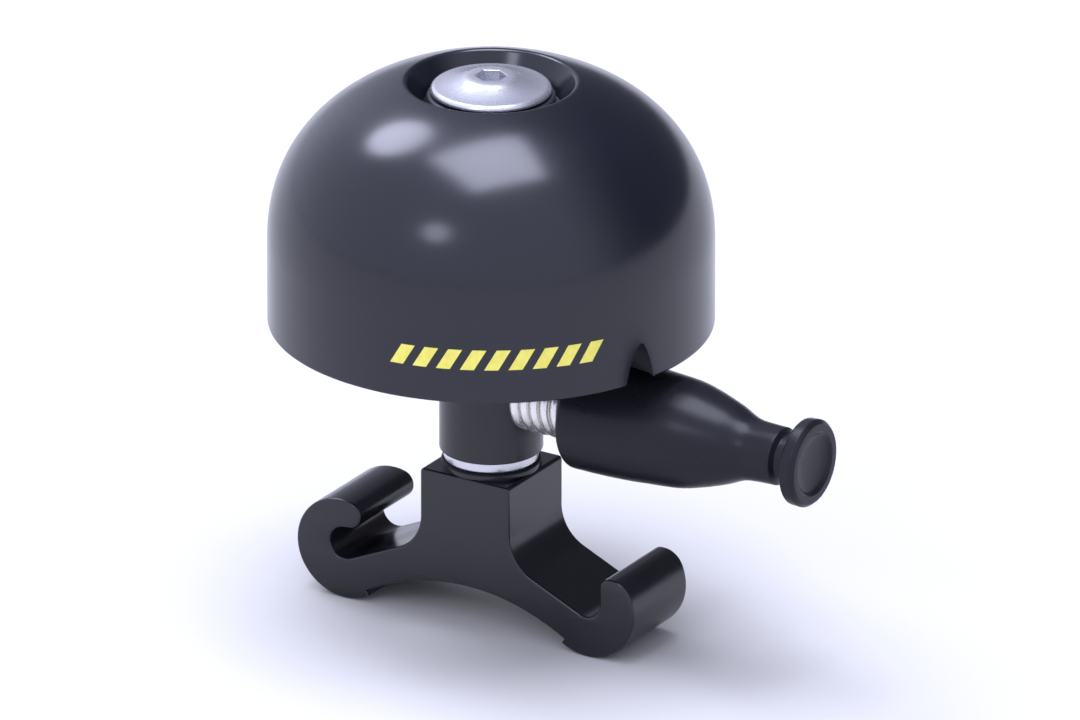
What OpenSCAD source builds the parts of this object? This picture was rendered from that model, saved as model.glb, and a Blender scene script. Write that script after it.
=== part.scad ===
// Bicycle bell: a dome on a bolted post, a sprung striker, and a saddle that sits on a handlebar.
// Origin: crown of the saddle's underside, where it touches the handlebar's top.
// +Z runs up the bolt, +X points along the striker, +Y runs along the handlebar. Millimetres.

/* [Handlebar] */
// Outside diameter of the handlebar that the saddle's crown and feet touch
bar_d = 31.8; // [31.8, 31.4, 31.0]

/* [Dome] */
// Outside diameter of the dome
dome_d = 36; // [35.6:0.1:36.4]
// Height of the dome's rim above the handlebar's top
rim_z = 22; // [22:0.1:22.6]
// Height of the straight skirt
skirt_h = 6.8; // [6:0.1:7.4]
// Height of the curved crown above the skirt, before its pocket is cut
crown_h = 14.6; // [14.4:0.1:15]
// Squareness of the crown's curve, where 2 is an ellipse
crown_power = 2.22; // [2.1:0.02:2.3]
// Thickness of the dome's crown
crown_wall = 1.75; // [1.5:0.05:1.8]
// Thickness of the dome's skirt
skirt_wall = 3.3; // [2.4:0.1:3.4]
// Diameter of the pocket round the bolt's head, at its mouth
pocket_d = 13.3; // [12.6:0.1:13.6]
// Slope of the pocket's wall, in degrees away from upright
pocket_slope = 28; // [20:1:30]
// Radius of the rounded lip where the crown rolls into the pocket
lip_r = 0.4; // [0.3:0.05:1]
// Thickness of the dome where the bolt clamps it
crown_floor = 1.8; // [1.5:0.1:2]
// Width of the arched notch in the rim
notch_w = 3; // [2:0.1:3.4]
// Height of the arched notch in the rim
notch_h = 3.2; // [2:0.1:3.6]
// Where the notch is, round from the striker
notch_angle = -16.5; // [-30:0.5:30]

/* [Bolt and bushes] */
// Shank diameter of the bolt
bolt_d = 4; // [3.8:0.1:4]
// Length of the bolt under its head
bolt_l = 40; // [39:0.5:40]
// Diameter of the bolt's flanged head
head_d = 9.8; // [9:0.1:10.4]
// Height of the bolt's head
head_h = 1.5; // [1.4:0.1:2]
// Width across the flats of the hexagon socket
socket_af = 2.25; // [2:0.05:2.5]
// Outside diameter of the two plastic bushes that grip the dome
bush_d = 10.4; // [10:0.1:11.6]
// Diameter of the bush's neck, which fills the hole in the dome
neck_d = 7; // [6:0.1:7.4]

/* [Post] */
// Diameter of the post
post_d = 8.4; // [8.2:0.1:8.6]
// Clearance round the bolt in each piece that turns on it
turn_gap = 0.05; // [0.02:0.01:0.08]
// Diameter of the steel washer under the post
washer_d = 7.7; // [7:0.1:8]
// Thickness of the steel washer
washer_h = 0.85; // [0.6:0.05:1]

/* [Saddle] */
// Width of the saddle's block
block_w = 8.4; // [8.3:0.1:9]
// Depth of the saddle along the handlebar
saddle_depth = 8.3; // [8:0.1:9]
// Height of the block's top above the handlebar's top
block_z = 9.45; // [9.2:0.05:9.6]
// Height of the round pad on the block, which the washer sits on
pad_h = 0.55; // [0.4:0.05:0.8]
// Radius of the saddle's own curve, which is a little flatter than the handlebar
saddle_r = 18.66; // [18:0.02:19]
// Radius of the slot under each hook, for the cord of a rubber strap
slot_r = 1.34; // [1.2:0.02:1.4]
// Radius of the fillets between the block and its arms
fillet_r = 3.5; // [3:0.1:3.6]
// Downward slope of the arms
arm_slope = 25; // [24:0.5:26]

/* [Striker] */
// Height of the striker's axis above the handlebar's top
striker_z = 15.95; // [15.9:0.05:16.1]
// Outside diameter of the spring
spring_d = 5.5; // [5.4:0.05:5.5]
// Diameter of the spring's wire
wire_d = 0.95; // [0.8:0.05:0.95]
// Distance from one turn of the spring to the next
spring_pitch = 0.97; // [0.97:0.01:1.05]
// Diameter of the knob at the striker's tip
knob_d = 7.24; // [6.6:0.02:7.6]
// Diameter of the steel core in the striker's thin end
core_d = 3; // [2.4:0.1:3]

/* [Hidden] */

// More than 12 sides, so that every round face is a true curve.
round_fn = 64;
// How far a cutter runs past the face that it opens.
past = 1;
// A size larger than any piece, for cutters that take a whole side away.
far = 40;

black_anodised = [0.16, 0.16, 0.20];
black_plastic = [0.10, 0.10, 0.13];
steel = [0.80, 0.80, 0.83];
brass = [0.80, 0.65, 0.32];

// Stack of heights up the bolt.
pad_top = block_z + pad_h;
washer_top = pad_top + washer_h;
bolt_end_z = 1.5;
head_z = bolt_end_z + bolt_l;
bush_flange_h = 1.2;
pocket_z = head_z - bush_flange_h;
crown_under_z = pocket_z - crown_floor;
lower_bush_h = 1.6;
post_top_z = crown_under_z - lower_bush_h;
neck_depth = 1.1;
bolt_hole_d = bolt_d + 2 * turn_gap;

// Dome.
dome_r = dome_d / 2;
skirt_top_z = rim_z + skirt_h;
crown_steps = 16;
rim_break = 0.12;
crown_boss_d = 17;
notch_steps = 8;
lip_c_r = pocket_d / 2 + lip_r;
lip_tilt = atan(crown_fall(lip_c_r + lip_r / 4));
lip_end_r = lip_c_r + lip_r * sin(lip_tilt);
lip_c_z = crown_z(lip_end_r) - lip_r * cos(lip_tilt);
wall_top_r = lip_c_r - lip_r * cos(pocket_slope);
wall_top_z = lip_c_z + lip_r * sin(pocket_slope);
pocket_floor_r = wall_top_r - (wall_top_z - pocket_z) * tan(pocket_slope);

// Post.
post_flange_h = 1.5;

// Brass insert, pushed up into the saddle from below.
insert_d = 6;
insert_low_z = 0.6;
insert_top_z = 6.5;
base_hole_d = bolt_d + 0.3;

// Saddle. Both hooks are given for the +X side, and the long one is mirrored to the -X side.
slot_c = [11.43, 1.24];
hook_c = [11.75, 0.78];
hook_r = 4.21;
foot_c = [11.5, 0.96];
foot_r = 4.52;
tip_r = 1.13;
tip_angle = 104;
tip_c = hook_c + (hook_r - tip_r) * [cos(tip_angle), sin(tip_angle)];
tip_gap = tip_c - slot_c;
tip_turn = atan2(tip_gap[1], tip_gap[0]) - acos((slot_r + tip_r) / norm(tip_gap));
tip_side = [cos(tip_turn), sin(tip_turn)];
short_inner_c = [slot_c[0] + slot_r + 0.9, 2.7];
short_outer_c = [13.87, 1.7];
short_top_z = 3.6;
pad_d = 8.1;
fillet_c = [block_w / 2 + fillet_r, 5.28];
arm_down = [-sin(arm_slope), -cos(arm_slope)];
arm_start = fillet_c + fillet_r * arm_down;
arm_end = slot_c + slot_r * arm_down;
arm_corner_z = arm_start[1] + (arm_start[0] - block_w / 2) * tan(arm_slope);
arch_half_w = 9.4;
arch_low_z = -2.4;
foot_x = 9.13;
foot_edge = [foot_x, sqrt(pow(bar_d / 2, 2) - foot_x * foot_x) - bar_d / 2];
foot_low_z = foot_c[1] - foot_r;
block_break = 0.35;

// Striker, along +X from the post.
spring_start_x = 2.6;
spring_end_x = 11.9;
spring_gap = 0.1;
spring_sides = 6;
spring_steps = 24;
stud_d = 3.5;
stud_start_x = 2.35;
stud_end_x = 5.1;
sleeve_start_x = 8.8;
core_start_x = 9;
neck_start_x = 24.5;
groove_start_x = 27.6;
knob_start_x = 29.15;
knob_end_x = 30.45;
knob_pin_r = 1;
knob_pin_l = 0.7;
dish_r = 2.6;
dish_h = 0.35;

// Half-ellipse-like curve from the skirt to the top: radius and height at angle t.
function crown_point(r, h, t) = [
    r * pow(cos(t), 2 / crown_power),
    skirt_top_z + h * pow(sin(t), 2 / crown_power)
];

// Points of that curve from the skirt's top in to a given radius.
function crown_curve(r, h, end_r) =
    let (end = acos(pow(end_r / r, crown_power / 2)))
    [for (i = [0:crown_steps]) crown_point(r, h, end * i / crown_steps)];

// Height of the crown's outside at a radius, and how steeply it falls there.
function crown_z(r) =
    skirt_top_z + crown_h * pow(1 - pow(r / dome_r, crown_power), 1 / crown_power);
function crown_fall(r) =
    crown_h / dome_r * pow(r / dome_r, crown_power - 1)
    * pow(1 - pow(r / dome_r, crown_power), 1 / crown_power - 1);

function reversed(list) = [for (i = [len(list) - 1:-1:0]) list[i]];

// A ring of the spring's wire, at a number of turns from its start.
function wire_ring(turns) = [
    for (i = [0:spring_sides - 1])
        let (
            around = 360 * turns,
            section = 360 * i / spring_sides,
            r = (spring_d - wire_d) / 2 + wire_d / 2 * cos(section)
        )
        [
            spring_start_x + wire_d / 2 + spring_pitch * turns + wire_d / 2 * sin(section),
            r * cos(around),
            r * sin(around)
        ]
];

// A plain cylinder between two heights.
module disc(d, low, high) {
    translate([0, 0, low]) cylinder(d = d, h = high - low, $fn = round_fn);
}

// A washer between two heights.
module ring(d, hole_d, low, high) {
    difference() {
        disc(d, low, high);
        disc(hole_d, low - past, high + past);
    }
}

// Lays a shape that is drawn round Z along the striker's axis instead.
module along_striker() {
    translate([0, 0, striker_z]) rotate([0, 90, 0]) children();
}

// Arched cutter for the notch, pointing out along +X. Its curve runs on a little below the rim.
module notch_cutter() {
    reach = 1.1;
    half_w = reach * notch_w / 2;
    arch = [for (i = [-notch_steps:notch_steps])
        let (u = reach * i / notch_steps)
        [u * notch_w / 2, rim_z + notch_h * (1 - u * u)]];
    foot = [[half_w, rim_z - past], [-half_w, rim_z - past]];
    translate([dome_r - 2 * skirt_wall, 0, 0])
        rotate([90, 0, 90])
            linear_extrude(height = 3 * skirt_wall) polygon(concat(arch, foot));
}

// Spun shell with a pocket for the bolt's head and a thick floor under it.
module dome() {
    hollow_r = dome_r - skirt_wall;
    boss_r = crown_boss_d / 2;
    lip = [for (i = [1:5])
        let (a = 90 - lip_tilt + (90 + lip_tilt - pocket_slope) * i / 5)
        [lip_c_r + lip_r * cos(a), lip_c_z + lip_r * sin(a)]];
    profile = concat(
        [[dome_r - rim_break, rim_z], [dome_r, rim_z + rim_break]],
        crown_curve(dome_r, crown_h, lip_end_r),
        lip,
        [[pocket_floor_r, pocket_z], [neck_d / 2, pocket_z]],
        [[neck_d / 2, crown_under_z], [boss_r, crown_under_z]],
        reversed(crown_curve(hollow_r, crown_h - crown_wall, boss_r)),
        [[hollow_r, rim_z + rim_break], [hollow_r + rim_break, rim_z]]
    );
    color(black_anodised) difference() {
        rotate_extrude($fn = round_fn) polygon(profile);
        rotate([0, 0, notch_angle]) notch_cutter();
    }
}

// Bolt with a thin flange that slopes up to a small flat round the socket.
module clamp_bolt() {
    rim_h = 0.72;
    rim_r = 0.45;
    land_r = 1.9;
    socket_depth = 1.3;
    head_r = head_d / 2;
    shank_r = bolt_d / 2;
    tip_break = 0.3;
    rim_arc = [for (a = [0:30:90])
        [head_r - rim_r + rim_r * cos(a), head_z + rim_h - rim_r + rim_r * sin(a)]];
    profile = concat(
        [[0, bolt_end_z], [shank_r - tip_break, bolt_end_z], [shank_r, bolt_end_z + tip_break]],
        [[shank_r, head_z], [head_r - rim_r, head_z], [head_r, head_z + rim_r * 0.6]],
        rim_arc,
        [[3.2, head_z + 1.07], [2.4, head_z + 1.3], [land_r, head_z + head_h], [0, head_z + head_h]]
    );
    color(steel) difference() {
        rotate_extrude($fn = round_fn) polygon(profile);
        translate([0, 0, head_z + head_h - socket_depth])
            cylinder(r = socket_af / sqrt(3), h = socket_depth + past, $fn = 6);
    }
}

// Flanged bush in the dome's pocket, with a neck down through the dome.
module upper_bush() {
    color(black_plastic) difference() {
        union() {
            disc(bush_d, pocket_z, head_z);
            disc(neck_d, crown_under_z - neck_depth, pocket_z + past / 2);
        }
        disc(bolt_hole_d, crown_under_z - neck_depth - past, head_z + past);
    }
}

// Bush between the dome and the post, with a socket for the upper bush's neck.
module lower_bush() {
    color(black_plastic) difference() {
        ring(bush_d, bolt_hole_d, post_top_z, crown_under_z);
        disc(neck_d, crown_under_z - neck_depth, crown_under_z + past);
    }
}

module striker_post() {
    color(black_anodised) difference() {
        union() {
            disc(post_d, washer_top, post_top_z);
            disc(bush_d, post_top_z - post_flange_h, post_top_z);
        }
        disc(bolt_hole_d, washer_top - past, post_top_z + past);
        along_striker() {
            disc(spring_d + 2 * spring_gap, spring_start_x, post_d);
            disc(stud_d, stud_start_x, post_d);
        }
    }
}

module base_washer() {
    color(steel) ring(washer_d, base_hole_d, pad_top, washer_top);
}

// Extrudes an outline, drawn in X and Z, over the saddle's depth and a margin on both sides.
module slab(margin = 0) {
    rotate([90, 0, 0]) linear_extrude(height = saddle_depth + 2 * margin, center = true) children();
}

// A cylinder along Y over the saddle's depth, placed by its centre in X and Z.
module roller(centre, r, margin = 0) {
    slab(margin) translate(centre) circle(r = r, $fn = round_fn);
}

// Block and arm on the +X side, with the fillet between them.
module saddle_arm() {
    half_w = block_w / 2;
    fillet_reach = [arm_start[0] + past, arm_start[1] - past * tan(arm_slope)];
    slab() polygon([
        [-0.5, foot_edge[1]], foot_edge, foot_c, arm_end, [half_w, arm_corner_z],
        [half_w, block_z - block_break], [half_w - block_break, block_z], [-0.5, block_z]
    ]);
    difference() {
        slab() polygon([
            [half_w - past, arm_corner_z - past], fillet_reach - [0, past], fillet_reach,
            arm_start, fillet_c, [half_w, fillet_c[1]], [half_w - past, fillet_c[1]]
        ]);
        roller(fillet_c, fillet_r, past);
    }
}

// The round of a hook on the +X side, with its foot, before its mouth is opened.
module hook_round() {
    roller(hook_c, hook_r);
    intersection() {
        roller(foot_c, foot_r);
        slab() polygon([
            foot_edge, [foot_x, foot_low_z - past], [foot_c[0] + foot_r, foot_low_z - past],
            hook_c, foot_c
        ]);
    }
}

// Long hook, which curls back over its slot and ends in a round tip.
module long_hook() {
    cut_end = hook_c + 2 * (tip_c - hook_c);
    difference() {
        hook_round();
        slab(past) polygon([
            slot_c, slot_c + slot_r * tip_side, tip_c - tip_r * tip_side, tip_c, cut_end,
            [block_w / 2, cut_end[1]], [block_w / 2, arm_corner_z], arm_end
        ]);
    }
    roller(tip_c, tip_r);
}

// Short hook, which stands up beside its slot and ends in a blunt top.
module short_hook() {
    inner_x = slot_c[0] + slot_r;
    inner_r = short_top_z - short_inner_c[1];
    outer_r = short_top_z - short_outer_c[1];
    cut_end = hook_c + 2 * (short_outer_c - hook_c);
    mouth_top = cut_end[1] + hook_r;
    difference() {
        hook_round();
        slab(past) polygon([
            slot_c, [inner_x, slot_c[1]], [inner_x, short_inner_c[1]], short_inner_c,
            short_outer_c, cut_end, [cut_end[0], mouth_top], [block_w / 2, mouth_top],
            [block_w / 2, arm_corner_z], arm_end
        ]);
    }
    roller(short_inner_c, inner_r);
    intersection() {
        roller(short_outer_c, outer_r);
        slab() polygon([
            short_outer_c, cut_end, [cut_end[0], mouth_top], [short_outer_c[0], mouth_top]
        ]);
    }
    slab() polygon([
        short_inner_c, short_outer_c, [short_outer_c[0], short_top_z],
        [short_inner_c[0], short_top_z]
    ]);
}

module saddle_base() {
    color(black_plastic) difference() {
        union() {
            saddle_arm();
            short_hook();
            mirror([1, 0, 0]) {
                saddle_arm();
                long_hook();
            }
            disc(pad_d, block_z - past, pad_top);
        }
        roller(slot_c, slot_r, past);
        mirror([1, 0, 0]) roller(slot_c, slot_r, past);
        intersection() {
            roller([0, -saddle_r], saddle_r, past);
            slab(past) polygon([
                [-arch_half_w, past], [-arch_half_w, arch_low_z], [-foot_x, foot_edge[1]],
                [-foot_x, -far], [foot_x, -far], foot_edge, [arch_half_w, arch_low_z],
                [arch_half_w, past]
            ]);
        }
        disc(base_hole_d, -past, pad_top + past);
        disc(insert_d, -past, insert_top_z);
    }
}

module threaded_insert() {
    color(brass) ring(insert_d, bolt_d, insert_low_z, insert_top_z);
}

module spring_stud() {
    color(steel) along_striker() disc(stud_d, stud_start_x, stud_end_x);
}

module striker_spring() {
    turns = (spring_end_x - spring_start_x - wire_d) / spring_pitch;
    last = ceil(turns * spring_steps);
    points = [for (i = [0:last]) each wire_ring(turns * i / last)];
    sides = [
        for (i = [0:last - 1], j = [0:spring_sides - 1])
            let (
                a = i * spring_sides + j,
                b = i * spring_sides + (j + 1) % spring_sides
            )
            each [[a, b, b + spring_sides], [a, b + spring_sides, a + spring_sides]]
    ];
    first_end = [for (j = [0:spring_sides - 1]) spring_sides - 1 - j];
    last_end = [for (j = [0:spring_sides - 1]) last * spring_sides + j];
    color(steel) translate([0, 0, striker_z])
        polyhedron(points = points, faces = concat([first_end], sides, [last_end]));
}

// Bulb that strikes the dome, its neck and the groove behind the knob.
module striker_sleeve() {
    outline = [
        [0, sleeve_start_x], [4.5, sleeve_start_x], [4.8, 9.1], [4.82, 11.6], [4.76, 14],
        [4.63, 16], [4.42, 18.6], [4, 20.5], [3.33, 22.6], [2.75, 23.9], [2.5, neck_start_x],
        [2.42, 26.4], [2.38, 27.3], [1.9, groove_start_x], [1.9, knob_start_x],
        [0, knob_start_x]
    ];
    color(black_anodised) along_striker() difference() {
        rotate_extrude($fn = round_fn) polygon(outline);
        disc(spring_d + 2 * spring_gap, sleeve_start_x - past, spring_end_x + spring_gap);
        disc(core_d, sleeve_start_x, knob_start_x + past);
    }
}

// Steel core: a spigot inside the spring and a thin rod through the sleeve into the knob.
module striker_core() {
    spigot_end_x = spring_end_x + spring_gap;
    color(steel) along_striker() {
        disc(stud_d, core_start_x, spigot_end_x);
        disc(core_d, spigot_end_x - past, knob_start_x);
        disc(2 * knob_pin_r, knob_start_x - past, knob_start_x + knob_pin_l);
    }
}

// Disc that a thumb pulls, with a shallow dish in its face.
module striker_knob() {
    knob_r = knob_d / 2;
    edge = 0.25;
    color(black_anodised) along_striker() difference() {
        rotate_extrude($fn = round_fn) polygon([
            [0, knob_start_x], [knob_r - edge, knob_start_x], [knob_r, knob_start_x + edge],
            [knob_r, knob_end_x - edge], [knob_r - edge, knob_end_x], [0, knob_end_x]
        ]);
        disc(2 * dish_r, knob_end_x - dish_h, knob_end_x + past);
        disc(2 * knob_pin_r, knob_start_x - past, knob_start_x + knob_pin_l);
    }
}

dome();
clamp_bolt();
upper_bush();
lower_bush();
striker_post();
base_washer();
saddle_base();
threaded_insert();
spring_stud();
striker_spring();
striker_sleeve();
striker_core();
striker_knob();
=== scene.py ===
"""Looks of the bicycle bell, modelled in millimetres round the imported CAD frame.

+X points along the striker, +Y along the handlebar, +Z up the bolt.
"""

import math

import bmesh
import bpy
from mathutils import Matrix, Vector
from mathutils.geometry import tessellate_polygon


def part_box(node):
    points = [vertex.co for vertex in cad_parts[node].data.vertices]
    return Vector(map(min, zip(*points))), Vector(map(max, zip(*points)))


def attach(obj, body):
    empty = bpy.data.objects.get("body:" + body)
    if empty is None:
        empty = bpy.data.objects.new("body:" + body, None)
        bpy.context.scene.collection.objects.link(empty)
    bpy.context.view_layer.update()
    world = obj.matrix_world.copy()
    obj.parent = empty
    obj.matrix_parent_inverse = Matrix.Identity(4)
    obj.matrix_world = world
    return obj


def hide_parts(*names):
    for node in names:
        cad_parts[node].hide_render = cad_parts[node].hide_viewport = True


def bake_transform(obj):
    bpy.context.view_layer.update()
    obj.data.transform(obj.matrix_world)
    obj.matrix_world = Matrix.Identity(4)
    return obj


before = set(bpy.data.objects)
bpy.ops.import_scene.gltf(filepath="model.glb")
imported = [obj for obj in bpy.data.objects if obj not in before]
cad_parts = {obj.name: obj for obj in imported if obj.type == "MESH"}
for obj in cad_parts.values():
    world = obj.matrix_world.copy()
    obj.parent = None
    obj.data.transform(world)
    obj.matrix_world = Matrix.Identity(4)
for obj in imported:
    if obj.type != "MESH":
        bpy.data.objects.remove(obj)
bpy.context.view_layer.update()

MM = 0.001
SHARP_ANGLE = 36  # degrees between faces, over which an edge isn't smoothed
TURN_SIDES = 192  # sides of the large turned pieces
SMALL_SIDES = 96  # sides of the small turned pieces
FILLET_STEPS = 5
LEAD = 1  # length of a straight stretch that only leads into a fillet
OVERRUN = 1  # how far a cutter runs past the face that it cuts


# ---------------------------------------------------------------- sizes, in millimetres


def box_mm(node):
    """Lowest and highest corner of a CAD node at rest."""
    low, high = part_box(node)
    return low / MM, high / MM


dome_low, dome_high = box_mm("dome")
bolt_low, bolt_high = box_mm("clamp_bolt")
upper_low, upper_high = box_mm("upper_bush")
lower_low, lower_high = box_mm("lower_bush")
post_low, post_high = box_mm("striker_post")
washer_low, washer_high = box_mm("base_washer")
saddle_low, saddle_high = box_mm("saddle_base")
insert_low, insert_high = box_mm("threaded_insert")
stud_low, stud_high = box_mm("spring_stud")
spring_low, spring_high = box_mm("striker_spring")
sleeve_low, sleeve_high = box_mm("striker_sleeve")
knob_low, knob_high = box_mm("striker_knob")

DOME_R = dome_high.y
RIM_Z = dome_low.z
SKIRT_H = 6.8
SKIRT_TOP_Z = RIM_Z + SKIRT_H
CROWN_H = 14.6
CROWN_POWER = 2.22  # of the crown's superellipse, which would be an ellipse at 2
CROWN_WALL = 1.75
SKIRT_WALL = 3.3
RIM_ROUND = 0.12
POCKET_R = 6.65
POCKET_SLOPE = 28  # degrees of the pocket's wall away from upright
LIP_R = 0.4
NECK_R = 3.5  # of the bushes, where they pass through the dome's floor
BOSS_R = 8.5  # of the thick floor inside the dome
NOTCH_HALF_W = 1.5
NOTCH_H = 3.2
NOTCH_ANGLE = math.radians(-16.5)
HOLLOW_R = DOME_R - SKIRT_WALL
SKIRT_RINGS = (0.25, 0.5, 1, 2, 3.4, 5)  # heights over the rim of the rings that the notch lifts
PAINTED_SHADE_BELOW = 0.1  # how far a face may look outward or up and still get the painted shade inside the dome

MARK_MIDDLE = math.radians(-56.6)
MARK_BARS = 9
MARK_STEP = math.radians(6.2)  # from one bar to the next
MARK_BAR = math.radians(3.6)  # a bar's width
MARK_LOW_Z = RIM_Z + 2.9
MARK_HIGH_Z = RIM_Z + 4.6
MARK_SLANT = math.radians(1.6)
MARK_PROUD = 0.02  # how far each bar stands out of the skirt, and how far it reaches in

SHANK_R = 2
BORE_R = 2.05
BUSH_R = upper_high.x
POST_R = 4.2
POST_FLANGE_H = 1.5
HEAD_R = bolt_high.x
HEAD_Z = upper_high.z
BASE_HOLE_R = 2.15
SEAT_GAP = 0.02  # between faces that turn on each other
BUSH_FLANGE_H = 1.2
POCKET_Z = HEAD_Z - BUSH_FLANGE_H
BOSS_Z = lower_high.z

LAND_R = 1.75  # of the flat land round the bolt's socket
HEAD_EDGE_R = 0.45
HEAD_EDGE_H = 0.72
TIP_CHAMFER = 0.3
SOCKET_HALF_FLATS = 1.125
SOCKET_DEPTH = 1.25
SOCKET_CHAMFER = 0.04
SOCKET_CONE_H = 0.4

STRIKER_Z = (knob_low.z + knob_high.z) / 2
SPRING_R = spring_high.y
WIRE_R = 0.475
SPRING_PITCH = 0.97
SPRING_HOLE_R = SPRING_R + 0.1
POST_HOLE_R = SPRING_R - 0.25  # tight, so that the post grips the spring's first turns
SLEEVE_END_X = sleeve_high.x
CORE_R = 1.5
SPIGOT_END_X = spring_high.x + 0.1
FIRST_BEND_X = 4.3  # where the spring starts to bend
CUT_X = 7.3  # where its two pieces meet, between its two joints
SECOND_BEND_X = 8.8  # where it stops bending

BULB_START = (4.81, 10)  # radius and X
NECK_END = (2.39, 26.8)
GROOVE_R = 1.9
DISH_R = 2.5
DISH_EDGE = 0.12  # how far the dish's edge lies behind the knob's front

BLOCK_HALF_W = 4.2
BLOCK_Z = 9.45
PAD_R = 4.05
PAD_ROOT = 1  # how deep the pad's own mesh reaches into the block
SADDLE_R = 18.66  # of the arch that sits on the handlebar
HOOK_CENTRE = (11.75, 0.78)
HOOK_R = 4.21
SLOT_CENTRE = (11.43, 1.24)
SLOT_R = 1.34
FILLET_R = 3.5
FILLET_CENTRE = (BLOCK_HALF_W + FILLET_R, 5.28)
ARM_ANGLE = 245  # where the fillet and the slot meet the arm's top, in degrees
FOOT_CENTRE = (11.5, 0.96)
FOOT_R = 4.52
FOOT_JOIN_ANGLE = -35.75  # where the hook meets the foot, in degrees
FOOT_END_ANGLE = -121.6
FOOT_INNER = (9.36, -2.51)  # where the foot meets the arch
LONG_TIP_R = 1.13
LONG_TIP_ANGLE = 104
SHORT_INNER_R = 0.9
SHORT_OUTER_R = 1.9
SHORT_OUTER_X = 13.87
SHORT_TOP_Z = 3.6
EDGE_ROUND = 0.22


# ---------------------------------------------------------------- paint, light and view


NOISE_LOW = 0.3  # most of a noise lies between these two
NOISE_HIGH = 0.7
DEEP_BLACK = (0.007, 0.0075, 0.01)

LIGHT_COLOUR = (0.77, 0.79, 1)
LIGHT_DISTANCE = 3  # metres from the bell
LIGHT_AIM_Z = 30
BRIGHT_STRENGTH = 1.34
DARK_SHARE = 0.12  # of the bright strength, on the dark side
DARK_AZIMUTH = 160
DARK_ELEVATION = 5
DARK_CORE = math.cos(math.radians(35))  # fully dark within this angle
DARK_EDGE = math.cos(math.radians(85))  # fully bright beyond this one

CAMERA_AZIMUTH = 31.7
CAMERA_ELEVATION = 22.6
VIEW_WIDTH = 86.8  # what the camera sees from left to right
VIEW_AIM_Z = 22.1
VIEW_SHIFT_RIGHT = 3.92
VIEW_SHIFT_DOWN = 3.5
LENS = 900
SENSOR = 36


# ---------------------------------------------------------------- outlines


def arc(centre, radius, start, end, steps):
    """Points on an arc between two angles in degrees."""
    turns = [math.radians(start + (end - start) * i / steps) for i in range(steps + 1)]
    return [(centre[0] + radius * math.cos(a), centre[1] + radius * math.sin(a)) for a in turns]


def rounded(corners, closed=True, steps=FILLET_STEPS):
    """Outline through corners (a, b, fillet radius), with each fillet as an arc."""
    outline = []
    for i, (a, b, radius) in enumerate(corners):
        here = Vector((a, b))
        if radius == 0 or (not closed and i in (0, len(corners) - 1)):
            outline.append((a, b))
            continue
        before = Vector(corners[i - 1][:2])
        after = Vector(corners[(i + 1) % len(corners)][:2])
        to_before = (before - here).normalized()
        to_after = (after - here).normalized()
        half = to_before.angle(to_after) / 2
        middle = here + (to_before + to_after).normalized() * (radius / math.sin(half))
        start = here + to_before * (radius / math.tan(half)) - middle
        end = here + to_after * (radius / math.tan(half)) - middle
        sweep = math.pi - 2 * half
        for k in range(steps + 1):
            share = k / steps
            spoke = start * math.sin((1 - share) * sweep) + end * math.sin(share * sweep)
            outline.append(tuple(middle + spoke / math.sin(sweep)))
    return outline


def smooth_through(points):
    """A smooth open curve through points, as a Catmull-Rom spline."""
    steps = 8
    ends = [points[0], *points, points[-1]]
    curve = []
    for p0, p1, p2, p3 in zip(ends, ends[1:], ends[2:], ends[3:]):
        for k in range(steps):
            t = k / steps
            weights = (
                -0.5 * t + t * t - 0.5 * t**3,
                1 - 2.5 * t * t + 1.5 * t**3,
                0.5 * t + 2 * t * t - 1.5 * t**3,
                -0.5 * t * t + 0.5 * t**3,
            )
            pulls = list(zip(weights, (p0, p1, p2, p3)))
            curve.append(tuple(sum(w * p[axis] for w, p in pulls) for axis in (0, 1)))
    return [*curve, tuple(points[-1])]


def inset(outline, distance):
    """A closed outline, drawn anticlockwise, moved inward by a distance."""
    least_stretch = 0.5  # keeps the points of sharp corners close
    count = len(outline)
    moved = []
    for i in range(count):
        here = Vector(outline[i])
        back = (here - Vector(outline[i - 1])).normalized()
        ahead = (Vector(outline[(i + 1) % count]) - here).normalized()
        inward = Vector((-(back.y + ahead.y), back.x + ahead.x)).normalized()
        stretch = max(least_stretch, inward.dot(Vector((-ahead.y, ahead.x))))
        moved.append(tuple(here + inward * (distance / stretch)))
    return moved


# ---------------------------------------------------------------- meshes


def upright(r, h, angle):
    """Point of a piece that is turned round the bolt."""
    return (r * math.cos(angle), r * math.sin(angle), h)


def along_striker(r, h, angle):
    """Point of a piece that is turned round the striker's axis."""
    return (h, r * math.cos(angle), STRIKER_Z + r * math.sin(angle))


def full_turn(sides):
    """Evenly spaced angles round a circle."""
    return [2 * math.pi * i / sides for i in range(sides)]


def ring_faces(rings, sides, wrap):
    """Quads that join each ring of points to the next, and the last to the first if they wrap."""
    faces = []
    for i in range(rings if wrap else rings - 1):
        near = i * sides
        far = (i + 1) % rings * sides
        for j in range(sides):
            ahead = (j + 1) % sides
            faces.append((near + j, near + ahead, far + ahead, far + j))
    return faces


def new_piece(name, points, faces):
    """A closed mesh object from points in millimetres, with points in one place merged."""
    merge_distance = 1e-5 * MM
    mesh = bpy.data.meshes.new(name)
    mesh.from_pydata([Vector(p) * MM for p in points], [], faces)
    work = bmesh.new()
    work.from_mesh(mesh)
    bmesh.ops.remove_doubles(work, verts=work.verts, dist=merge_distance)
    bmesh.ops.recalc_face_normals(work, faces=work.faces)
    work.to_mesh(mesh)
    work.free()
    piece = bpy.data.objects.new(name, mesh)
    bpy.context.scene.collection.objects.link(piece)
    return piece


def turned(name, outline, place=upright, sides=SMALL_SIDES, closed=True):
    """A turned piece from an outline of (radius, height) points.

    A closed outline makes a ring; an open one starts and ends on the axis.
    """
    points = [place(r, h, a) for r, h in outline for a in full_turn(sides)]
    return new_piece(name, points, ring_faces(len(outline), sides, closed))


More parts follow.
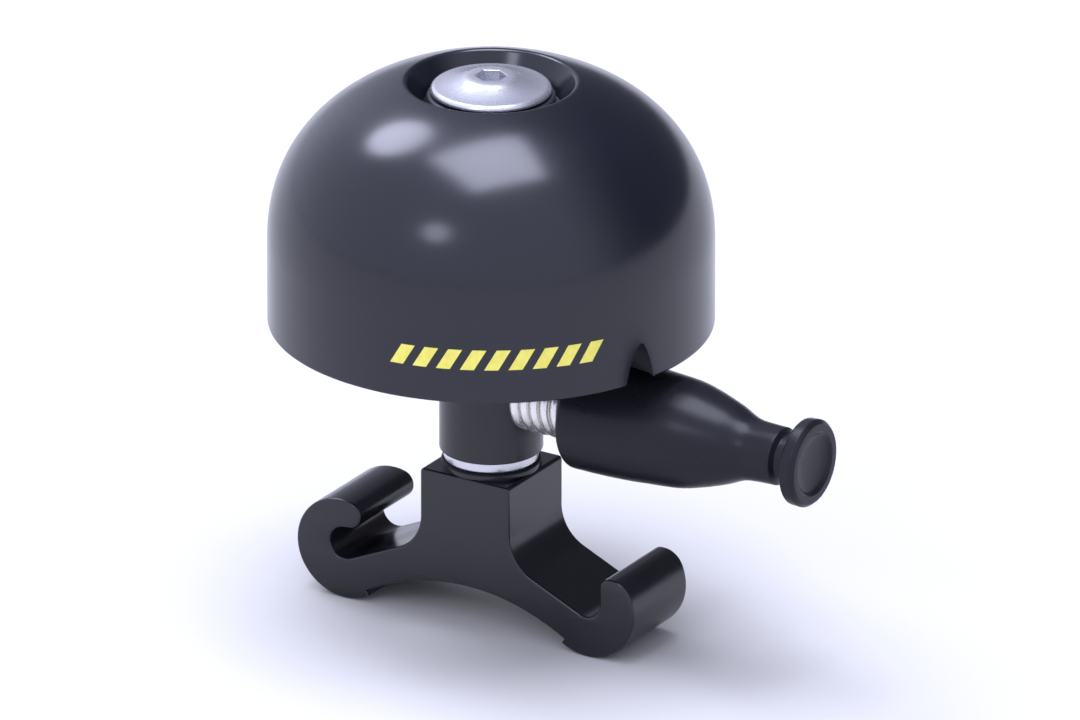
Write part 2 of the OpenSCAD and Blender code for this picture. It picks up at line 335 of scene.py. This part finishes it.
def prism(name, outline, depth, edge):
    """A solid with the same section in X and Z all along Y, with rounded edges."""
    count = len(outline)
    steps = 4
    layers = []
    for k in range(steps + 1):
        turn = math.pi / 2 * k / steps
        layers.append((-depth / 2 + edge * (1 - math.cos(turn)), edge * (1 - math.sin(turn))))
    layers += [(-y, shrink) for y, shrink in reversed(layers)]
    points = [(x, y, z) for y, shrink in layers for x, z in inset(outline, shrink)]
    faces = ring_faces(len(layers), count, False)
    last = (len(layers) - 1) * count
    cap = tessellate_polygon([[Vector((a, b, 0)) for a, b in inset(outline, edge)]])
    for corners in cap:
        faces.append(tuple(corners))
        faces.append(tuple(last + c for c in reversed(corners)))
    return new_piece(name, points, faces)


def carve(piece, cutter):
    """Takes a cutter away from a piece, and then deletes the cutter."""
    cut = piece.modifiers.new("cut", "BOOLEAN")
    cut.operation = "DIFFERENCE"
    cut.solver = "EXACT"
    cut.object = cutter
    graph = bpy.context.evaluated_depsgraph_get()
    piece.data = bpy.data.meshes.new_from_object(piece.evaluated_get(graph))
    piece.modifiers.clear()
    bpy.data.objects.remove(cutter)


def join(piece, other):
    """Adds another piece's mesh to a piece's own, and then deletes the other."""
    work = bmesh.new()
    for one in (piece, other):
        work.from_mesh(one.data)
    work.to_mesh(piece.data)
    work.free()
    bpy.data.objects.remove(other)


def finish_piece(piece, material, body, node, sharp=SHARP_ANGLE):
    """Shades and paints a piece that stands for a CAD node, and lets it ride on a body."""
    piece.data.shade_smooth()
    piece.data.set_sharp_from_angle(angle=math.radians(sharp))
    weighted = piece.modifiers.new("weighted_normals", "WEIGHTED_NORMAL")
    weighted.keep_sharp = True
    piece.data.materials.clear()
    piece.data.materials.append(material)
    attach(piece, body)
    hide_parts(node)


# ---------------------------------------------------------------- materials


class Paint:
    """A node material round one Principled shader, with its texture in the piece's own space.

    The sockets are the shader's inputs that are the same all over, with _ for each space.
    """

    def __init__(self, name, **sockets):
        self.material = bpy.data.materials.new(name)
        self.material.use_nodes = True
        self.nodes = self.material.node_tree.nodes
        self.links = self.material.node_tree.links
        self.shader = self.nodes["Principled BSDF"]
        for socket, value in sockets.items():
            self.shader.inputs[socket.replace("_", " ")].default_value = value
        self.place = self.nodes.new("ShaderNodeTexCoord").outputs["Object"]

    def noise(self, size_mm, detail=2, stretch=None):
        """Noise whose grains are of a size in millimetres, stretched along the piece's axes."""
        place = self.place
        if stretch:
            mapping = self.nodes.new("ShaderNodeMapping")
            mapping.inputs["Scale"].default_value = stretch
            self.links.new(place, mapping.inputs["Vector"])
            place = mapping.outputs["Vector"]
        texture = self.nodes.new("ShaderNodeTexNoise")
        texture.inputs["Scale"].default_value = 1 / (size_mm * MM)
        texture.inputs["Detail"].default_value = detail
        self.links.new(place, texture.inputs["Vector"])
        return texture.outputs["Fac"]

    def ramp(self, source, low, high):
        """Maps a noise to a range of values."""
        ranged = self.nodes.new("ShaderNodeMapRange")
        ranged.inputs["From Min"].default_value = NOISE_LOW
        ranged.inputs["From Max"].default_value = NOISE_HIGH
        ranged.inputs["To Min"].default_value = low
        ranged.inputs["To Max"].default_value = high
        self.links.new(source, ranged.inputs["Value"])
        return ranged.outputs["Result"]

    def roughness(self, source, low, high):
        """Varies the roughness between two values."""
        self.links.new(self.ramp(source, low, high), self.shader.inputs["Roughness"])

    def tint(self, source, dark, light):
        """Varies the base colour between two colours."""
        mix = self.nodes.new("ShaderNodeMix")
        mix.data_type = "RGBA"
        mix.inputs["A"].default_value = (*dark, 1)
        mix.inputs["B"].default_value = (*light, 1)
        self.links.new(self.ramp(source, 0, 1), mix.inputs["Factor"])
        self.links.new(mix.outputs["Result"], self.shader.inputs["Base Color"])

    def bump(self, source, height_mm):
        """Raises the surface where the source is high."""
        bump = self.nodes.new("ShaderNodeBump")
        bump.inputs["Distance"].default_value = height_mm * MM
        bump.inputs["Strength"].default_value = 1
        self.links.new(source, bump.inputs["Height"])
        self.links.new(bump.outputs["Normal"], self.shader.inputs["Normal"])


def scaled(colour, factor):
    """A darker or lighter colour of the same hue."""
    return [factor * channel for channel in colour]


def satin_black():
    """Black anodised dome: a fine, even blasted grain under a blue-black dye."""
    paint = Paint("dome_satin")
    clouds = paint.noise(6)
    paint.roughness(clouds, 0.18, 0.22)
    paint.tint(clouds, (0.006, 0.007, 0.012), (0.007, 0.008, 0.014))
    paint.bump(paint.noise(0.12, detail=3), 0.0003)
    return paint.material


def gloss_black(name, colour, roughness, specular):
    """Moulded black plastic or gloss anodising, with faint flow marks."""
    paint = Paint(name, Specular_IOR_Level=specular)
    flow = paint.noise(3)
    paint.roughness(flow, roughness - 0.03, roughness + 0.03)
    paint.tint(flow, scaled(colour, 0.93), scaled(colour, 1.07))
    paint.bump(paint.noise(0.2), 0.0003)
    return paint.material


def matt_black(name, colour, specular):
    """Black nylon, and a dull black that paints the shade inside the dome and under the washer.
    """
    paint = Paint(name, Specular_IOR_Level=specular)
    grain = paint.noise(0.15, detail=3)
    paint.roughness(grain, 0.44, 0.56)
    paint.tint(paint.noise(2), colour, scaled(colour, 1.2))
    paint.bump(grain, 0.002)
    return paint.material


def bright_steel(name, colour, stretch):
    """Steel with fine turning marks, which run round the axis that is stretched most."""
    paint = Paint(name, Metallic=0.8)
    paint.roughness(paint.noise(0.25, stretch=stretch), 0.23, 0.28)
    paint.tint(paint.noise(1.5), scaled(colour, 0.97), scaled(colour, 1.03))
    return paint.material


def brass():
    """Turned brass, a little dulled."""
    paint = Paint("insert_brass", Metallic=1)
    paint.roughness(paint.noise(0.3), 0.26, 0.4)
    paint.tint(paint.noise(1.2), (0.5, 0.34, 0.12), (0.66, 0.48, 0.2))
    return paint.material


def yellow_ink():
    """Printed yellow mark, a thin slightly uneven film."""
    paint = Paint("yellow_ink")
    paint.roughness(paint.noise(0.2), 0.42, 0.56)
    paint.tint(paint.noise(0.6), (0.74, 0.68, 0.1), (0.82, 0.76, 0.15))
    return paint.material


dome_satin = satin_black()
saddle_black = gloss_black("saddle_gloss", DEEP_BLACK, roughness=0.24, specular=0.5)
striker_black = gloss_black("striker_gloss", (0.012, 0.0125, 0.016), roughness=0.3, specular=0.2)
post_black = gloss_black("post_gloss", DEEP_BLACK, roughness=0.3, specular=0.5)
bush_black = matt_black("bush_nylon", (0.018, 0.019, 0.026), specular=0.5)
# Duller, less shiny black that is painted shade inside the dome and on the pad under the washer.
painted_shade_black = matt_black("painted_shade_black", DEEP_BLACK, specular=0.15)
bolt_steel = bright_steel("bolt_steel", (0.62, 0.63, 0.66), stretch=(1, 1, 6))
spring_steel = bright_steel("spring_wire", (0.8, 0.79, 0.76), stretch=(4, 1, 1))
insert_brass = brass()
mark_yellow = yellow_ink()


# ---------------------------------------------------------------- dome


def crown_point(radius, height, share):
    """Point of the crown's curve, from the skirt's top at share 0 to the axis at share 1."""
    angle = math.pi / 2 * share
    power = 2 / CROWN_POWER
    return (
        radius * math.cos(angle) ** power,
        SKIRT_TOP_Z + height * math.sin(angle) ** power,
    )


def crown_curve(radius, height, end_r):
    """The crown's curve from the skirt's top in to a radius."""
    steps = 56
    share = math.acos((end_r / radius) ** (CROWN_POWER / 2)) / (math.pi / 2)
    return [crown_point(radius, height, share * i / steps) for i in range(steps + 1)]


def lip_curve():
    """Rounded lip from the crown's outside down to the pocket's sloping wall."""
    centre_r = POCKET_R + LIP_R
    meet_r = centre_r + LIP_R / 4  # about where the lip meets the crown
    share = meet_r / DOME_R
    rise = (1 - share**CROWN_POWER) ** (1 / CROWN_POWER)
    fall = CROWN_H / DOME_R * share ** (CROWN_POWER - 1) * rise ** (1 - CROWN_POWER)
    tilt = math.degrees(math.atan(fall))
    end_r = centre_r + LIP_R * math.sin(math.radians(tilt))
    end_z = SKIRT_TOP_Z + CROWN_H * (1 - (end_r / DOME_R) ** CROWN_POWER) ** (1 / CROWN_POWER)
    centre_z = end_z - LIP_R * math.cos(math.radians(tilt))
    lip = arc((centre_r, centre_z), LIP_R, 90 - tilt, 180 - POCKET_SLOPE, steps=12)
    return end_r, lip[1:]


def notch_rise(r, angle):
    """How far the arched notch lifts the rim, at a radius and an angle from its middle."""
    offset = r * math.sin(angle) / NOTCH_HALF_W
    if abs(offset) >= 1 or math.cos(angle) < 0:
        return 0
    return NOTCH_H * (1 - offset * offset)


def dome_outline():
    """The dome's closed section, as if it had no notch.

    It runs down the inside, round the rim, up the outside and down into the pocket.
    """
    rim = rounded(
        [
            (HOLLOW_R, RIM_Z + LEAD, 0),
            (HOLLOW_R, RIM_Z, RIM_ROUND),
            (DOME_R, RIM_Z, RIM_ROUND),
            (DOME_R, RIM_Z + LEAD, 0),
        ],
        closed=False,
        steps=3,
    )
    end_r, lip = lip_curve()
    wall_top_r, wall_top_z = lip[-1]
    floor_r = wall_top_r - (wall_top_z - POCKET_Z) * math.tan(math.radians(POCKET_SLOPE))
    pocket = rounded(
        [
            (wall_top_r, wall_top_z, 0),
            (floor_r, POCKET_Z, 0.15),
            (NECK_R, POCKET_Z, 0),
            (NECK_R, BOSS_Z, 0),
            (BOSS_R, BOSS_Z, 0.25),
            (BOSS_R, BOSS_Z + LEAD, 0),
        ],
        closed=False,
    )
    return [
        *((HOLLOW_R, RIM_Z + h) for h in reversed(SKIRT_RINGS)),
        *rim[1:-1],
        *((DOME_R, RIM_Z + h) for h in SKIRT_RINGS),
        *crown_curve(DOME_R, CROWN_H, end_r),
        *lip,
        *pocket[1:-1],
        *reversed(crown_curve(HOLLOW_R, CROWN_H - CROWN_WALL, BOSS_R)),
    ]


def dome_angles():
    """Angles round the dome from the notch's middle, close together across the notch."""
    half_steps = 24
    flank_steps = 4
    outer_edge = math.asin(NOTCH_HALF_W / DOME_R)
    inner_edge = math.asin(NOTCH_HALF_W / HOLLOW_R)
    arch = [outer_edge * i / half_steps for i in range(-half_steps, half_steps + 1)]
    widening = inner_edge - outer_edge
    flank = [outer_edge + widening * i / flank_steps for i in range(1, flank_steps + 1)]
    rest = 2 * math.pi - 2 * inner_edge
    around = [inner_edge + rest * i / TURN_SIDES for i in range(1, TURN_SIDES)]
    return [*arch, *flank, *around, *(-a for a in reversed(flank))]


def dome_piece():
    """Spun shell with a dished pocket, a thick clamped floor and an arched notch in the rim."""
    outline = dome_outline()
    angles = dome_angles()
    points = []
    for r, z in outline:
        share = max(0, 1 - (z - RIM_Z) / SKIRT_H)
        for a in angles:
            points.append(upright(r, z + notch_rise(r, a) * share, a + NOTCH_ANGLE))
    dome = new_piece("dome_shell", points, ring_faces(len(outline), len(angles), True))
    finish_piece(dome, dome_satin, "dome", "dome")
    # Faces inside the dome that look inward or down get the duller black: painted shade in the
    # hollow and behind the notch.
    dome.data.materials.append(painted_shade_black)
    for face in dome.data.polygons:
        outward = face.normal.xy.dot(face.center.xy.normalized())
        if max(outward, face.normal.z) < PAINTED_SHADE_BELOW:
            face.material_index = 1


def mark_piece():
    """Row of slanted yellow bars printed on the skirt."""
    steps = 8
    row = steps + 1
    points = []
    faces = []
    for bar in range(MARK_BARS):
        rows = [len(points) + k * row for k in range(4)]
        middle = MARK_MIDDLE + MARK_STEP * (bar - (MARK_BARS - 1) / 2)
        for r in (DOME_R - MARK_PROUD, DOME_R + MARK_PROUD):
            for z, lean in ((MARK_LOW_Z, -MARK_SLANT), (MARK_HIGH_Z, MARK_SLANT)):
                for i in range(row):
                    angle = middle + lean + MARK_BAR * (i / steps - 0.5)
                    points.append(upright(r, z, angle))
        for i in range(steps):
            in_low, in_high, out_low, out_high = (start + i for start in rows)
            faces += [
                (in_low, in_high, in_high + 1, in_low + 1),
                (out_low, out_low + 1, out_high + 1, out_high),
                (in_low, in_low + 1, out_low + 1, out_low),
                (in_high, out_high, out_high + 1, in_high + 1),
            ]
        for i in (0, steps):
            in_low, in_high, out_low, out_high = (start + i for start in rows)
            faces.append((in_low, out_low, out_high, in_high))
    mark = new_piece("dome_mark", points, faces)
    mark.data.materials.append(mark_yellow)
    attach(mark, "dome")


# ---------------------------------------------------------------- bolt, bushes, post and washer


def hexagon(half_flats, z):
    """Ring of points round a hexagon, at the angles of the bolt's other rings."""
    ring = []
    for a in full_turn(SMALL_SIDES):
        from_flat = (a + math.pi / 6) % (math.pi / 3) - math.pi / 6
        ring.append(upright(half_flats / math.cos(from_flat), z, a))
    return ring


def bolt_piece():
    """Flanged bolt whose head slopes up to a small land round its hexagon socket."""
    top = bolt_high.z
    shank = rounded(
        [
            (0, bolt_low.z, 0),
            (SHANK_R - TIP_CHAMFER, bolt_low.z, 0),
            (SHANK_R, bolt_low.z + TIP_CHAMFER, 0),
            (SHANK_R, HEAD_Z, 0.15),
            (HEAD_R - HEAD_EDGE_R, HEAD_Z, 0.1),
            (HEAD_R, HEAD_Z + HEAD_EDGE_H - HEAD_EDGE_R, 0),
        ],
        closed=False,
    )
    edge_centre = (HEAD_R - HEAD_EDGE_R, HEAD_Z + HEAD_EDGE_H - HEAD_EDGE_R)
    edge = arc(edge_centre, HEAD_EDGE_R, 0, 80, steps=10)
    slope = smooth_through(
        [
            edge[-1],
            (3.9, HEAD_Z + 0.82),
            (3.2, HEAD_Z + 1),
            (2.5, HEAD_Z + 1.24),
            (2.05, HEAD_Z + 1.43),
            (LAND_R, top),
        ]
    )
    outline = shank[:-1] + edge + slope[1:]
    rings = [[upright(r, z, a) for a in full_turn(SMALL_SIDES)] for r, z in outline]
    rings.append(hexagon(SOCKET_HALF_FLATS + SOCKET_CHAMFER, top))
    rings.append(hexagon(SOCKET_HALF_FLATS, top - SOCKET_CHAMFER))
    rings.append(hexagon(SOCKET_HALF_FLATS, top - SOCKET_DEPTH))
    rings.append([(0, 0, top - SOCKET_DEPTH - SOCKET_CONE_H)] * SMALL_SIDES)
    points = [p for ring in rings for p in ring]
    bolt = new_piece("bolt", points, ring_faces(len(rings), SMALL_SIDES, False))
    finish_piece(bolt, bolt_steel, "saddle", "clamp_bolt", sharp=32)


def bush_pieces():
    """Two nylon bushes that grip the dome's floor."""
    upper = rounded(
        [
            (BORE_R, upper_low.z, 0.1),
            (NECK_R, upper_low.z, 0.2),
            (NECK_R, POCKET_Z, 0),
            (BUSH_R, POCKET_Z, 0.1),
            (BUSH_R, upper_high.z, 0.3),
            (BORE_R, upper_high.z, 0.1),
        ]
    )
    finish_piece(turned("bush_upper", upper), bush_black, "dome", "upper_bush")
    lower = rounded(
        [
            (BORE_R, lower_low.z + SEAT_GAP, 0),
            (BUSH_R, lower_low.z + SEAT_GAP, 0.2),
            (BUSH_R, lower_high.z, 0.1),
            (NECK_R, lower_high.z, 0),
            (NECK_R, upper_low.z, 0),
            (BORE_R, upper_low.z, 0),
        ]
    )
    finish_piece(turned("bush_lower", lower), bush_black, "dome", "lower_bush")


def post_piece():
    """Post with a flange at its top and a blind hole for the spring in its side."""
    outline = rounded(
        [
            (BORE_R, post_low.z, 0.1),
            (POST_R, post_low.z, 0.15),
            (POST_R, post_high.z - POST_FLANGE_H, 0.3),
            (BUSH_R, post_high.z - POST_FLANGE_H, 0.15),
            (BUSH_R, post_high.z, 0.2),
            (BORE_R, post_high.z, 0.1),
        ]
    )
    post = turned("post", outline, sides=TURN_SIDES)
    hole = [
        (0, stud_low.x),
        (stud_high.y, stud_low.x),
        (stud_high.y, spring_low.x),
        (POST_HOLE_R, spring_low.x),
        (POST_HOLE_R, POST_R + OVERRUN),
        (0, POST_R + OVERRUN),
    ]
    carve(post, turned("hole", hole, place=along_striker, closed=False))
    finish_piece(post, post_black, "post", "striker_post")


def washer_piece():
    """Bright ring between the post and the saddle's pad."""
    outline = rounded(
        [
            (BASE_HOLE_R, washer_low.z, 0.1),
            (washer_high.x, washer_low.z, 0.15),
            (washer_high.x, washer_high.z, 0.15),
            (BASE_HOLE_R, washer_high.z, 0.1),
        ]
    )
    washer = turned("washer", outline, sides=TURN_SIDES)
    finish_piece(washer, bolt_steel, "saddle", "base_washer")


# ---------------------------------------------------------------- saddle


def long_hook():
    """Outline from the slot round the hook's tip to the foot."""
    reach = HOOK_R - LONG_TIP_R
    tip = (
        HOOK_CENTRE[0] + reach * math.cos(math.radians(LONG_TIP_ANGLE)),
        HOOK_CENTRE[1] + reach * math.sin(math.radians(LONG_TIP_ANGLE)),
    )
    gap = Vector(tip) - Vector(SLOT_CENTRE)
    lean = math.degrees(math.acos((SLOT_R + LONG_TIP_R) / gap.length))
    # A straight line touches the slot's circle at this angle, and the tip's half a turn round.
    leave = math.degrees(math.atan2(gap.y, gap.x)) - lean
    return [
        *arc(SLOT_CENTRE, SLOT_R, ARM_ANGLE - 360, leave, steps=40),
        *arc(tip, LONG_TIP_R, leave + 180, LONG_TIP_ANGLE, steps=28),
        *arc(HOOK_CENTRE, HOOK_R, LONG_TIP_ANGLE, FOOT_JOIN_ANGLE, steps=64)[1:],
    ]


def short_hook():
    """Outline from the slot over the blunt top to the foot."""
    inner = (SLOT_CENTRE[0] + SLOT_R + SHORT_INNER_R, SHORT_TOP_Z - SHORT_INNER_R)
    outer = (SHORT_OUTER_X, SHORT_TOP_Z - SHORT_OUTER_R)
    lean = math.degrees(math.atan2(outer[1] - HOOK_CENTRE[1], outer[0] - HOOK_CENTRE[0]))
    return [
        *arc(SLOT_CENTRE, SLOT_R, ARM_ANGLE - 360, 0, steps=26),
        *arc(inner, SHORT_INNER_R, 180, 90, steps=14),
        *arc(outer, SHORT_OUTER_R, 90, lean, steps=18)[1:],
        *arc(HOOK_CENTRE, HOOK_R, lean, FOOT_JOIN_ANGLE, steps=26)[1:],
    ]


def saddle_side(hook):
    """Half of the saddle's outline, from the block's top to the arch, in X and Z."""
    corner = rounded(
        [(0, BLOCK_Z, 0), (BLOCK_HALF_W, BLOCK_Z, 0.3), (BLOCK_HALF_W, FILLET_CENTRE[1], 0)],
        closed=False,
    )
    arch = [FOOT_INNER]
    steps = 40
    for i in range(1, steps):
        x = FOOT_INNER[0] * (1 - i / steps)
        arch.append((x, math.sqrt(SADDLE_R**2 - x * x) - SADDLE_R))
    return [
        *corner[1:-1],
        *arc(FILLET_CENTRE, FILLET_R, 180, ARM_ANGLE, steps=20),
        *hook,
        *arc(FOOT_CENTRE, FOOT_R, FOOT_JOIN_ANGLE, FOOT_END_ANGLE, steps=40)[1:],
        *arch,
    ]


def saddle_piece():
    """Block, arms and two hooks in one section, with a round pad under the washer."""
    right = saddle_side(short_hook())
    left = [(-x, z) for x, z in saddle_side(long_hook())]
    outline = [*reversed(right), *left, (0, 0)]
    saddle = prism("saddle", outline, saddle_high.y - saddle_low.y, EDGE_ROUND)
    bore = [
        (0, -OVERRUN),
        (insert_high.x, -OVERRUN),
        (insert_high.x, insert_high.z),
        (BASE_HOLE_R, insert_high.z),
        (BASE_HOLE_R, BLOCK_Z + OVERRUN),
        (0, BLOCK_Z + OVERRUN),
    ]
    carve(saddle, turned("bore", bore, closed=False))
    pad = rounded(
        [
            (BASE_HOLE_R, BLOCK_Z - PAD_ROOT, 0),
            (PAD_R, BLOCK_Z - PAD_ROOT, 0),
            (PAD_R, washer_low.z, 0.2),
            (BASE_HOLE_R, washer_low.z, 0),
        ]
    )
    join(saddle, turned("pad", pad))
    finish_piece(saddle, saddle_black, "saddle", "saddle_base", sharp=30)
    # The pad's faces get the duller black: painted shade under the washer.
    saddle.data.materials.append(painted_shade_black)
    pad_start_z = BLOCK_Z + 0.01
    for face in saddle.data.polygons:
        if face.center.z > pad_start_z * MM:
            face.material_index = 1


def insert_piece():
    """Nut that takes the bolt, held in the saddle from below."""
    outline = rounded(
        [
            (SHANK_R, insert_low.z, 0.25),
            (insert_high.x, insert_low.z, 0.15),
            (insert_high.x, insert_high.z, 0),
            (SHANK_R, insert_high.z, 0),
        ]
    )
    insert = turned("insert", outline)
    finish_piece(insert, insert_brass, "saddle", "threaded_insert")


# ---------------------------------------------------------------- striker


def wire_piece(name, start_turn, end_turn):
    """Part of the spring, as a round wire wound between two numbers of turns."""
    section = 14
    steps_per_turn = 44
    steps = math.ceil((end_turn - start_turn) * steps_per_turn)
    coil_r = SPRING_R - WIRE_R
    points = []
    for i in range(steps + 1):
        turns = start_turn + (end_turn - start_turn) * i / steps
        middle_x = spring_low.x + WIRE_R + SPRING_PITCH * turns
        for around in full_turn(section):
            r = coil_r + WIRE_R * math.cos(around)
            x = middle_x + WIRE_R * math.sin(around)
            points.append(along_striker(r, x, 2 * math.pi * turns))
    faces = ring_faces(steps + 1, section, False)
    faces.append(tuple(range(section)))
    faces.append(tuple(reversed(range(steps * section, (steps + 1) * section))))
    wire = new_piece(name, points, faces)
    wire.data.shade_smooth()
    wire.data.set_sharp_from_angle(angle=math.radians(SHARP_ANGLE))
    wire.data.materials.append(spring_steel)
    return wire


def spring_pieces():
    """The spring in two pieces, which meet between its two joints."""
    last_turn = (spring_high.x - spring_low.x - 2 * WIRE_R) / SPRING_PITCH
    cut_turn = (CUT_X - spring_low.x - WIRE_R) / SPRING_PITCH
    near = wire_piece("spring_near", 0, cut_turn)
    far = wire_piece("spring_far", cut_turn, last_turn)
    bends = (
        (near, "post", "spring", FIRST_BEND_X, CUT_X),
        (far, "spring", "striker", CUT_X, SECOND_BEND_X),
    )
    for wire, from_body, to_body, start_x, end_x in bends:
        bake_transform(wire)
        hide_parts("striker_spring")


def sleeve_piece():
    """Bulb that strikes the dome, with its neck and the groove behind the knob."""
    bulb = smooth_through(
        [
            BULB_START,
            (4.82, 11.6),
            (4.76, 14),
            (4.63, 16),
            (4.42, 18.6),
            (4, 20.5),
            (3.33, 22.6),
            (2.78, 23.9),
            (2.53, 24.7),
            (2.44, 25.6),
            NECK_END,
        ]
    )
    tail = rounded(
        [
            (*NECK_END, 0),
            (2.38, 27.42, 0.16),
            (GROOVE_R, 27.7, 0.12),
            (GROOVE_R, SLEEVE_END_X, 0),
            (CORE_R, SLEEVE_END_X, 0),
            (CORE_R, SPIGOT_END_X, 0),
            (SPRING_HOLE_R, SPIGOT_END_X, 0),
            (SPRING_HOLE_R, sleeve_low.x, 0.2),
            (4.8, sleeve_low.x, 0.45),
            (*BULB_START, 0),
        ],
        closed=False,
    )
    outline = [*bulb, *tail[1:-1]]
    sleeve = turned("sleeve", outline, place=along_striker, sides=TURN_SIDES)
    finish_piece(sleeve, striker_black, "striker", "striker_sleeve")


def knob_piece():
    """Thumb disc with a rounded rim and a smooth dish in its face."""
    knob_r = knob_high.y
    back = knob_low.x
    front = knob_high.x
    rim = rounded(
        [
            (0, back, 0),
            (knob_r - 0.05, back, 0.2),
            (knob_r, front - 0.35, 0.2),
            (knob_r - 0.3, front, 0.2),
            (2.68, front, 0.15),
            (DISH_R, front - DISH_EDGE, 0),
        ],
        closed=False,
    )
    dish = smooth_through(
        [
            (DISH_R, front - DISH_EDGE),
            (2.3, front - 0.26),
            (1.7, front - 0.4),
            (0.9, front - 0.47),
            (0, front - 0.5),
        ]
    )
    outline = [*rim, *dish[1:]]
    knob = turned("knob", outline, place=along_striker, sides=TURN_SIDES, closed=False)
    finish_piece(knob, striker_black, "striker", "striker_knob")


def stud_piece():
    """Peg that holds the spring's inner end in the post."""
    outline = rounded(
        [
            (0, stud_low.x, 0),
            (stud_high.y, stud_low.x, 0.1),
            (stud_high.y, stud_high.x, 0.3),
            (0, stud_high.x, 0),
        ],
        closed=False,
    )
    stud = turned("stud", outline, place=along_striker, closed=False)
    finish_piece(stud, spring_steel, "post", "spring_stud")


def paint_core():
    """Steel for the core, which keeps its CAD shape, as the spring and the sleeve cover it."""
    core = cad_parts["striker_core"]
    for material_slot in core.material_slots:
        material_slot.material = spring_steel


# ---------------------------------------------------------------- floor, light and camera


def towards(azimuth, elevation):
    """Unit vector. Azimuth 0 is in front, towards -Y, and 90 is along +X, in degrees."""
    a = math.radians(azimuth)
    e = math.radians(elevation)
    return Vector((math.sin(a) * math.cos(e), -math.cos(a) * math.cos(e), math.sin(e)))


def area_light(name, shape, azimuth, elevation, size, power):
    """A soft box or a round diffuser that faces the bell, its size in metres."""
    out = towards(azimuth, elevation)
    data = bpy.data.lights.new(name, "AREA")
    data.shape = shape
    data.size = size
    data.energy = power
    data.color = LIGHT_COLOUR
    light = bpy.data.objects.new(name, data)
    light.rotation_euler = out.to_track_quat("Z", "Y").to_euler()
    light.location = Vector((0, 0, LIGHT_AIM_Z * MM)) + out * LIGHT_DISTANCE
    bpy.context.scene.collection.objects.link(light)


def build_camera():
    """A very long lens, because the view is almost parallel."""
    back = towards(CAMERA_AZIMUTH, CAMERA_ELEVATION)
    right = towards(CAMERA_AZIMUTH + 90, 0)
    up = back.cross(right)
    aim = Vector((0, 0, VIEW_AIM_Z)) + right * VIEW_SHIFT_RIGHT - up * VIEW_SHIFT_DOWN
    distance = VIEW_WIDTH * LENS / SENSOR
    data = bpy.data.cameras.new("camera")
    data.lens = LENS
    data.sensor_width = SENSOR
    data.clip_start = 0.1
    data.clip_end = 100
    camera = bpy.data.objects.new("camera", data)
    camera.location = (aim + back * distance) * MM
    camera.rotation_euler = back.to_track_quat("Z", "Y").to_euler()
    bpy.context.scene.collection.objects.link(camera)
    bpy.context.scene.camera = camera


def build_floor():
    """A wide plain floor that the hooks stand on."""
    half = 8  # metres
    low = saddle_low.z * MM
    corners = [(-half, -half, low), (half, -half, low), (half, half, low), (-half, half, low)]
    mesh = bpy.data.meshes.new("floor")
    mesh.from_pydata(corners, [], [(0, 1, 2, 3)])
    floor = bpy.data.objects.new("floor", mesh)
    bpy.context.scene.collection.objects.link(floor)
    paint = Paint("floor_white", Roughness=0.9, Specular_IOR_Level=0.1)
    paint.shader.inputs["Base Color"].default_value = (0.58, 0.575, 0.55, 1)
    mesh.materials.append(paint.material)


def build_world():
    """Even studio light that falls off to a dark side, behind the bell and to its right.

    What the camera sees past the floor's end is as pale as the floor.
    """
    world = bpy.data.worlds.new("studio")
    world.use_nodes = True
    nodes = world.node_tree.nodes
    links = world.node_tree.links
    direction = nodes.new("ShaderNodeTexCoord").outputs["Generated"]
    to_dark = nodes.new("ShaderNodeVectorMath")
    to_dark.operation = "DOT_PRODUCT"
    to_dark.inputs[1].default_value = towards(DARK_AZIMUTH, DARK_ELEVATION)
    links.new(direction, to_dark.inputs[0])
    strength = nodes.new("ShaderNodeMapRange")
    strength.interpolation_type = "SMOOTHSTEP"
    strength.inputs["From Min"].default_value = DARK_EDGE
    strength.inputs["From Max"].default_value = DARK_CORE
    strength.inputs["To Min"].default_value = BRIGHT_STRENGTH
    strength.inputs["To Max"].default_value = BRIGHT_STRENGTH * DARK_SHARE
    links.new(to_dark.outputs["Value"], strength.inputs["Value"])
    shown = nodes.new("ShaderNodeMix")
    shown.inputs["B"].default_value = BRIGHT_STRENGTH
    links.new(nodes.new("ShaderNodeLightPath").outputs["Is Camera Ray"], shown.inputs["Factor"])
    links.new(strength.outputs["Result"], shown.inputs["A"])
    background = nodes["Background"]
    background.inputs["Color"].default_value = (*LIGHT_COLOUR, 1)
    links.new(shown.outputs["Result"], background.inputs["Strength"])
    bpy.context.scene.world = world


def build_lights():
    """A soft box overhead, a large diffuser on the left and a small one in front."""
    area_light("overhead", "SQUARE", azimuth=57.7, elevation=89.9, size=1.75, power=100)
    area_light("left", "DISK", azimuth=-103, elevation=51, size=1.15, power=37.5)
    area_light("front", "DISK", azimuth=-1.5, elevation=35, size=0.7, power=8.5)


dome_piece()
mark_piece()
bolt_piece()
bush_pieces()
post_piece()
washer_piece()
saddle_piece()
insert_piece()
stud_piece()
spring_pieces()
sleeve_piece()
paint_core()
knob_piece()
build_camera()
build_floor()
build_world()
build_lights()
bpy.context.scene.view_settings.view_transform = "Standard"
